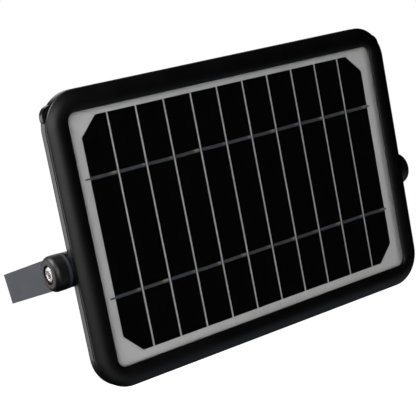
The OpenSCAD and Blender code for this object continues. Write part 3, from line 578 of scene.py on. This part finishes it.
inX, inZ, roundness = led["wallTop"][:3]
wallFoot = (inX, inZ, roundness, (chipHigh[1] - chipLow[1]) / mm)
ledBodies = ledPiece("ledBodies", [wallFoot, led["wallTop"], *led["rim"]], "white_plastic")
ledPiece("ledPhosphorDomes", led["dome"], "led_phosphor")
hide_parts("led_chips")
print("LED packages made")

# Reflector: one tile for each LED. From the tile's square edge the surface runs to a round rim
# and down a parabolic cup, radius = hole + (rim - hole) * sqrt(height share), to the hole
cup = {"rim": 6.2 * mm, "hole": 3.2 * mm, "edgeRound": 0.35 * mm, "corner": 7 * mm,
       "rimOut": 0.25 * mm, "rimDrop": 0.06 * mm, "inset": 0.25 * mm, "perSide": 8,
       "longestWall": 9 * mm, "onEdgeWithin": 0.001 * mm,
       "heightShare": [1, 0.94, 0.8, 0.62, 0.42, 0.22, 0.0]}
plateLow, plateHigh = headBox("reflector")
plateMiddle = (plateLow + plateHigh) / 2
linesX = np.concatenate([[plateLow[0]], (spotX[1:] + spotX[:-1]) / 2, [plateHigh[0]]])
linesZ = np.concatenate([[plateLow[2]], (spotZ[1:] + spotZ[:-1]) / 2, [plateHigh[2]]])
step = np.arange(4 * cup["perSide"])
alongSide = (step % cup["perSide"]) / cup["perSide"]
tileSide = step // cup["perSide"]
squareU = np.choose(tileSide, [alongSide, 1, 1 - alongSide, 0])
squareV = np.choose(tileSide, [0, alongSide, 1, 1 - alongSide])
tileX = linesX[:-1, None, None] + squareU * np.diff(linesX)[:, None, None]
tileZ = linesZ[None, :-1, None] + squareV * np.diff(linesZ)[None, :, None]
tileX, tileZ = np.broadcast_arrays(tileX, tileZ)
tileX, tileZ = tileX.reshape(-1, step.size), tileZ.reshape(-1, step.size)
fromX, fromZ = tileX - plateMiddle[0], tileZ - plateMiddle[2]
plateHalf = plateHigh - plateMiddle
onEdge = ((abs(fromX) > plateHalf[0] - cup["onEdgeWithin"])
          | (abs(fromZ) > plateHalf[2] - cup["onEdgeWithin"]))
# Where a point is past both ends of the straight sides it is pulled in to the corner's round
pastX = abs(fromX) - (plateHalf[0] - cup["corner"])
pastZ = abs(fromZ) - (plateHalf[2] - cup["corner"])
inCorner = (pastX > 0) & (pastZ > 0)
pull = np.where(inCorner, cup["corner"] / np.maximum(np.hypot(pastX, pastZ), cup["corner"]), 1)
tileX = np.where(inCorner, tileX + (pull - 1) * pastX * np.sign(fromX), tileX)
tileZ = np.where(inCorner, tileZ + (pull - 1) * pastZ * np.sign(fromZ), tileZ)
toPoint = np.arctan2(squareV - 0.5, squareU - 0.5)
cupHigh = plateHigh[1] - plateLow[1] - 2 * cup["inset"]
heightShare = np.array(cup["heightShare"])
cupRadius = cup["hole"] + (cup["rim"] - cup["edgeRound"] - cup["hole"]) * np.sqrt(heightShare)
cupDepth = plateLow[1] + cup["inset"] + cupHigh * heightShare
ringRadius = np.concatenate([[cup["rim"] + cup["rimOut"], cup["rim"]], cupRadius,
                             [cup["hole"]]])
ringDepth = np.concatenate([[plateHigh[1], plateHigh[1] - cup["rimDrop"]], cupDepth,
                            [plateLow[1]]])
circleX = spots[:, 0, None, None] + ringRadius[:, None] * np.cos(toPoint)
circleZ = spots[:, 1, None, None] + ringRadius[:, None] * np.sin(toPoint)
circleY = np.broadcast_to(ringDepth[:, None], circleX.shape)
tileTop = np.stack([tileX, np.full_like(tileX, plateHigh[1]), tileZ], -1)[:, None]
tileFoot = np.stack([tileX, np.full_like(tileX, plateLow[1]), tileZ], -1)[:, None]
tiles = np.concatenate([tileTop, np.stack([circleX, circleY, circleZ], -1), tileFoot], 1)
count, steps, sides = tiles.shape[:3]
start = (np.arange(count) * steps * sides)[:, None, None]
tileFaces = (gridFaces(steps, sides, False, True)[None] + start).reshape(-1, 4)
# Outer wall, between neighbouring points that are both on the plate's edge and on one side of it
stepX, stepZ = abs(tileX - np.roll(tileX, -1, 1)), abs(tileZ - np.roll(tileZ, -1, 1))
walled = (onEdge & np.roll(onEdge, -1, 1)
          & (stepX < cup["longestWall"]) & (stepZ < cup["longestWall"]))
topNow = start[:, 0] + np.arange(sides)
topNext = start[:, 0] + (np.arange(sides) + 1) % sides
toFoot = (steps - 1) * sides
wall = np.stack([topNow, topNext, topNext + toFoot, topNow + toFoot], -1)
faces = np.concatenate([tileFaces, wall[walled]])
places, merged = np.unique(np.round(tiles.reshape(-1, 3), 7), axis=0, return_inverse=True)
reflectorPiece = addPiece("reflectorCups", toRow(places), merged.ravel()[faces].tolist(),
                          "lamp_head", "white_plastic")
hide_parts("reflector")
print("reflector made")

stage = {"below": 0.22, "size": 8.0}  # metres under the object, and across
floorZ = cadBounds[0].z - stage["below"]
edge = stage["size"] / 2
floorMesh = bpy.data.meshes.new("floor")
floorMesh.from_pydata([(-edge, -edge, floorZ), (edge, -edge, floorZ), (edge, edge, floorZ),
                       (-edge, edge, floorZ)], [], [(0, 1, 2, 3)])
floor = bpy.data.objects.new("floor", floorMesh)
bpy.context.scene.collection.objects.link(floor)
# A lit white sheet: it shows as even white to the camera and adds nothing to reflections
floorMesh.materials.append(newMaterial("paleFloor", Roughness=0.9, Base_Color=linear("f4f4f4"),
                                       Emission_Color=(1, 1, 1, 1), Emission_Strength=1.0)[0])
floor.visible_glossy = False
floor.visible_diffuse = False
floor.visible_transmission = False

# Place from the pivot in metres, the way it looks, which way is up, and the lens in millimetres
camera = {"fromPivot": (-0.3667, -0.5480, -0.0060), "forward": (0.5348, 0.8446, 0.0242),
          "up": (0.2409, -0.1799, 0.9537), "lens": 101.4, "sensor": 36, "clipStart": 0.01}
cameraData = bpy.data.cameras.new("camera")
cameraData.sensor_width = camera["sensor"]
cameraData.lens = camera["lens"]
cameraData.clip_start = camera["clipStart"]
cameraObject = bpy.data.objects.new("camera", cameraData)
bpy.context.scene.collection.objects.link(cameraObject)
forward = Vector(camera["forward"]).normalized()
right = forward.cross(Vector(camera["up"])).normalized()
up = right.cross(forward)
cameraTurn = Matrix((right, up, -forward)).transposed().to_4x4()
cameraAt = Matrix.Translation(Vector(pivot) + Vector(camera["fromPivot"]))
cameraObject.matrix_world = cameraAt @ cameraTurn
bpy.context.scene.camera = cameraObject

# White where the camera sees it, nearly dark to everything else, as a studio behind the lamps is
studio = {"toCamera": (1, 1, 1, 1), "toObject": (0.002, 0.002, 0.0023, 1)}
world = bpy.data.worlds.new("studio")
bpy.context.scene.world = world
world.use_nodes = True
worldTree = world.node_tree
seen = addNode(worldTree, "ShaderNodeLightPath").outputs["Is Camera Ray"]
tone = addNode(worldTree, "ShaderNodeMix", {mixShare: seen, colourA: studio["toObject"],
                                            colourB: studio["toCamera"]}, data_type="RGBA")
worldTree.links.new(tone.outputs[colourOut], worldTree.nodes["Background"].inputs["Color"])
bpy.context.scene.view_settings.view_transform = "Standard"

# Softboxes, placed from the pivot: size in metres, power in watts
lamps = {
    "leftSoftbox": {"at": (-0.6, -0.68, 0.12), "size": (0.8, 0.8), "power": 5.3},
    "topLeft": {"at": (-0.9, 0.1, 1.1), "size": (0.7, 0.7), "power": 24},
    "lowFill": {"at": (-0.3, -0.9, -0.9), "size": (0.9, 0.9), "power": 1.2},
    "backLeft": {"at": (-0.9, 0.9, 0.2), "size": (0.8, 0.8), "power": 4.2},
    "lowRight": {"at": (0.55, -0.1, -0.85), "size": (0.9, 0.9), "power": 0.75,
                 "colour": (0.82, 0.88, 1.0)},
    "backFill": {"at": (1.0, 1.5, 0.9), "size": (1.6, 1.6), "power": 9},
}
for name, lamp in lamps.items():
    lampData = bpy.data.lights.new(name, "AREA")
    lampData.shape = "RECTANGLE"
    lampData.size, lampData.size_y = lamp["size"]
    lampData.energy = lamp["power"]
    lampData.color = lamp.get("colour", (1, 1, 1))
    lampObject = bpy.data.objects.new(name, lampData)
    bpy.context.scene.collection.objects.link(lampObject)
    lampAt = Vector(pivot) + Vector(lamp["at"])
    lampTurn = (Vector(pivot) - lampAt).to_track_quat("-Z", "Y")
    lampObject.matrix_world = Matrix.Translation(lampAt) @ lampTurn.to_matrix().to_4x4()
    lampObject.visible_camera = False
print("stage, camera and lights set")
